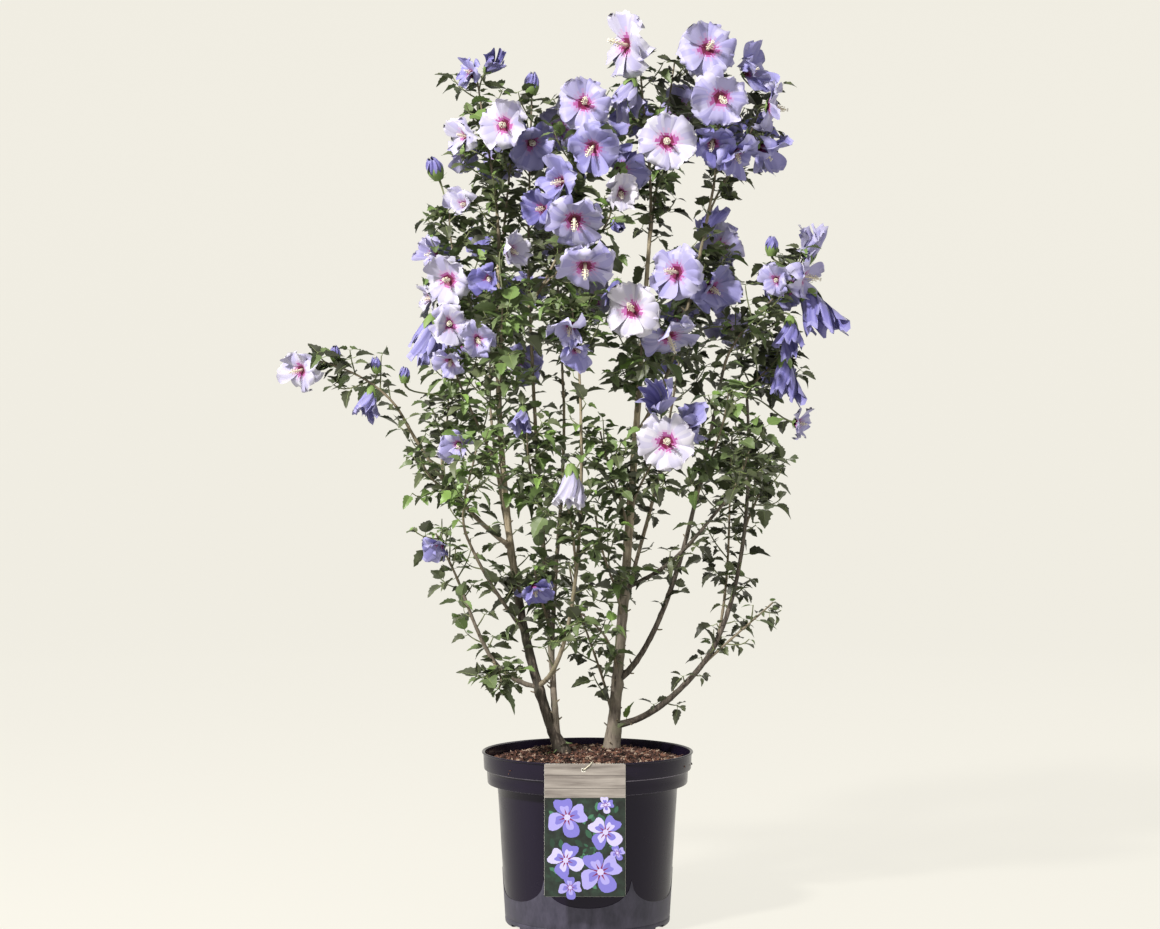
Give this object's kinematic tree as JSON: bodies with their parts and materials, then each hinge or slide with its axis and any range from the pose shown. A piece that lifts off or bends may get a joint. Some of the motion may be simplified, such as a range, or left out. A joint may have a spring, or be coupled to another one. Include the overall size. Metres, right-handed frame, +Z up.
{
  "type": "rose of sharon in a pot",
  "caption": "Flowering rose of sharon shrub with upright woody stems, leafy sprays and lilac-blue blooms, standing in a round nursery pot of bark compost with a hanging picture label.",
  "frame": {"origin": "centre of the pot's flat underside, where it stands on the floor", "axes": "+Z up along the plant's height, +X to the right and -Y to the front, where the label hangs"},
  "size_m": [0.7787, 0.4754, 1.2882],
  "materials": {
    "pot": "smooth moulded, half gloss",
    "soil": "loose bark chips, matt",
    "card": "printed and laminated",
    "tie": "matt",
    "bark": "rough bark",
    "foliage": "leaf, soft sheen"
  },
  "bodies": {
    "root": {"pot": "pot", "soil": "soil", "label_card": "card", "label_tie": "tie", "trunk_left": "bark", "trunk_right": "bark", "stem_left_second": "bark", "stem_left_rear": "bark", "stem_pale": "bark", "bough_left_low": "bark", "bough_left_mid": "bark", "arm_left": "bark", "bough_right_low": "bark", "bough_right_rise": "bark", "bough_right_mid": "bark", "bough_right_cross": "bark", "bough_centre_high": "bark", "bough_top_right": "bark", "bough_back_left": "bark", "bough_back_right": "bark", "spray_far_left": "foliage", "spray_arm_high": "foliage", "spray_arm_low": "foliage", "spray_left_low": "foliage", "tuft_left_low": "foliage", "spray_left_mid": "foliage", "spray_left_edge_low": "foliage", "spray_left_edge": "foliage", "spray_left_top": "foliage", "spray_left_crest": "foliage", "spray_left_face": "foliage", "spray_second_top": "foliage", "spray_second_low": "foliage", "tuft_middle_low": "foliage", "spray_rear_top": "foliage", "spray_pale_top": "foliage", "spray_pale_low": "foliage", "spray_centre_top": "foliage", "spray_centre_side": "foliage", "spray_right_crest": "foliage", "tuft_crown": "foliage", "spray_right_face": "foliage", "spray_right_low": "foliage", "spray_inner_face": "foliage", "spray_crown_right": "foliage", "spray_crown_edge": "foliage", "spray_crown_low": "foliage", "spray_right_out": "foliage", "spray_right_mid": "foliage", "spray_right_side": "foliage", "spray_right_edge": "foliage", "twig_right_low": "foliage", "spray_right_twin": "foliage", "spray_right_cross": "foliage", "spray_inner_low": "foliage", "spray_inner_back": "foliage", "tuft_inner": "foliage", "spray_back_left": "foliage", "spray_back_right": "foliage"}
  },
  "joints": []
}
